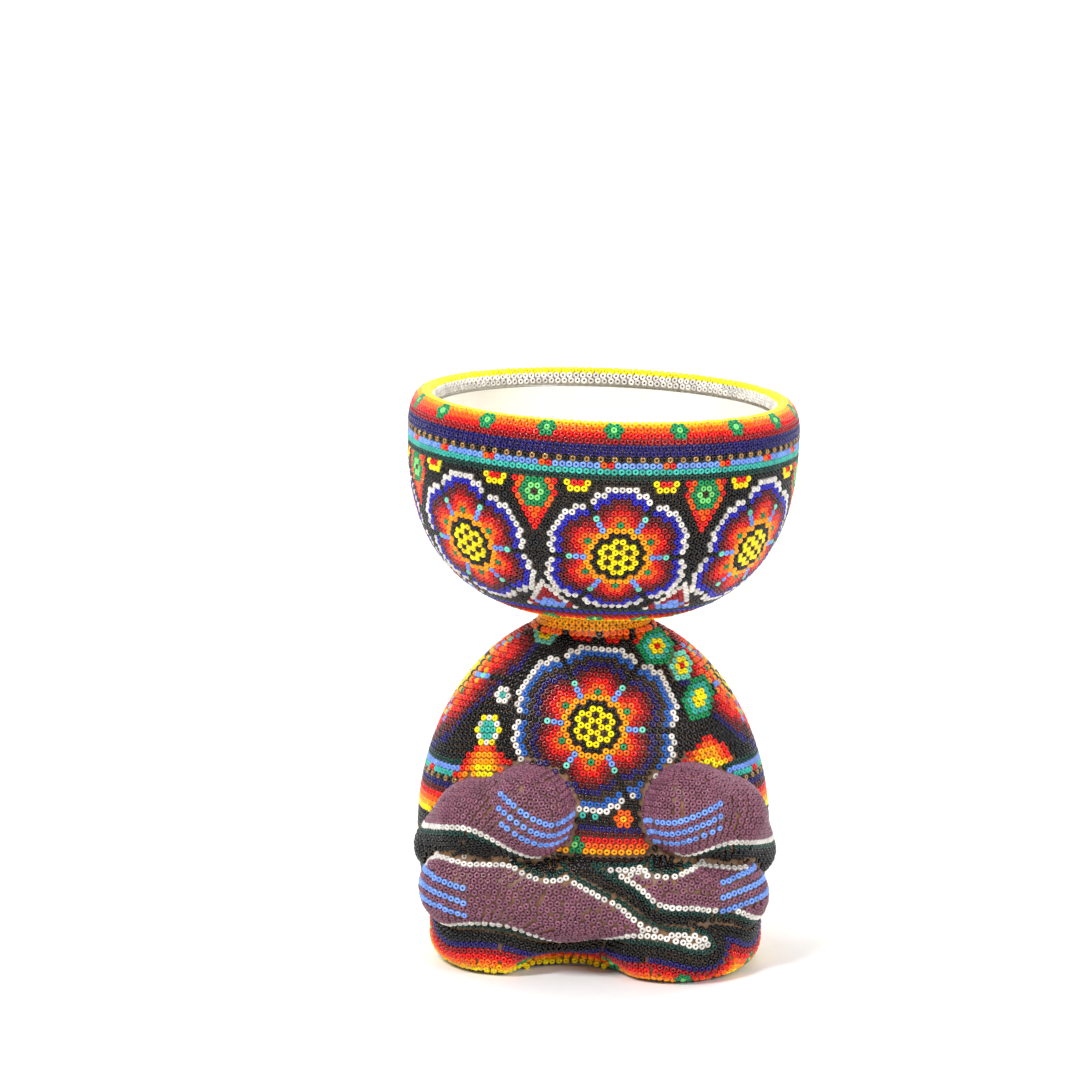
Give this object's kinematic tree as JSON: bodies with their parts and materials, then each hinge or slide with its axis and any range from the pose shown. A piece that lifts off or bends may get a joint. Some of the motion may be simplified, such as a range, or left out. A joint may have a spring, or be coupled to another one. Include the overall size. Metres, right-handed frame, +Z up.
{
  "type": "beaded figure bowl",
  "caption": "Seated cross-legged figure covered in glass seed beads, with an open white-lined bowl in place of its head.",
  "frame": {"origin": "centre of the bare flat foot the figure stands on, below the middle of the trunk", "axes": "+Z up; the figure faces -Y; +X is to the right of a viewer who faces it"},
  "size_m": [0.1253, 0.1252, 0.1844],
  "materials": {
    "black_beads": "opaque glossy glass seed beads",
    "body_ceramic": "unglazed, matt",
    "bronze_beads": "iridescent dark bronze glass seed beads",
    "dark_green_beads": "opaque glossy glass seed beads",
    "glazed_bowl": "smooth white glaze",
    "light_blue_beads": "opaque glossy glass seed beads",
    "navy_beads": "opaque glossy glass seed beads",
    "orange_beads": "opaque glossy glass seed beads",
    "purple_beads": "opaque glossy glass seed beads",
    "putty": "matt epoxy putty",
    "red_beads": "opaque glossy glass seed beads",
    "turquoise_beads": "opaque glossy glass seed beads",
    "wax": "tan beeswax and pine resin, soft satin",
    "white_beads": "opaque glossy glass seed beads",
    "yellow_beads": "opaque glossy glass seed beads"
  },
  "bodies": {
    "root": {"back_ground_beads": "black_beads", "back_medallion_beads": "red_beads", "body_casting": "body_ceramic", "body_wax": "wax", "bowl_casting": "glazed_bowl", "bowl_ground_beads": "black_beads", "bowl_medallion_1_beads": "red_beads", "bowl_medallion_2_beads": "red_beads", "bowl_medallion_3_beads": "red_beads", "bowl_medallion_4_beads": "red_beads", "bowl_medallion_5_beads": "red_beads", "bowl_medallion_6_beads": "red_beads", "bowl_medallion_7_beads": "red_beads", "bowl_mouth_white_beads": "white_beads", "bowl_rim_green_beads": "dark_green_beads", "bowl_rim_light_blue_beads": "light_blue_beads", "bowl_rim_navy_beads": "navy_beads", "bowl_rim_orange_beads": "orange_beads", "bowl_rim_red_beads": "red_beads", "bowl_rim_speckled_beads": "bronze_beads", "bowl_rim_turquoise_beads": "turquoise_beads", "bowl_rim_yellow_beads": "yellow_beads", "bowl_underside_blue_beads": "navy_beads", "bowl_underside_gold_beads": "orange_beads", "bowl_underside_red_beads": "red_beads", "bowl_wax": "wax", "chest_ground_beads": "black_beads", "chest_medallion_beads": "red_beads", "cuff_left_beads": "orange_beads", "cuff_right_beads": "orange_beads", "hand_left_beads": "purple_beads", "hand_right_beads": "purple_beads", "knee_left_beads": "red_beads", "knee_right_beads": "red_beads", "leg_left_beads": "purple_beads", "leg_right_beads": "purple_beads", "neck_collar_beads": "orange_beads", "neck_putty": "putty", "neck_ring_beads": "orange_beads", "seat_beads": "red_beads", "sleeve_left_beads": "orange_beads", "sleeve_right_beads": "orange_beads"}
  },
  "joints": []
}
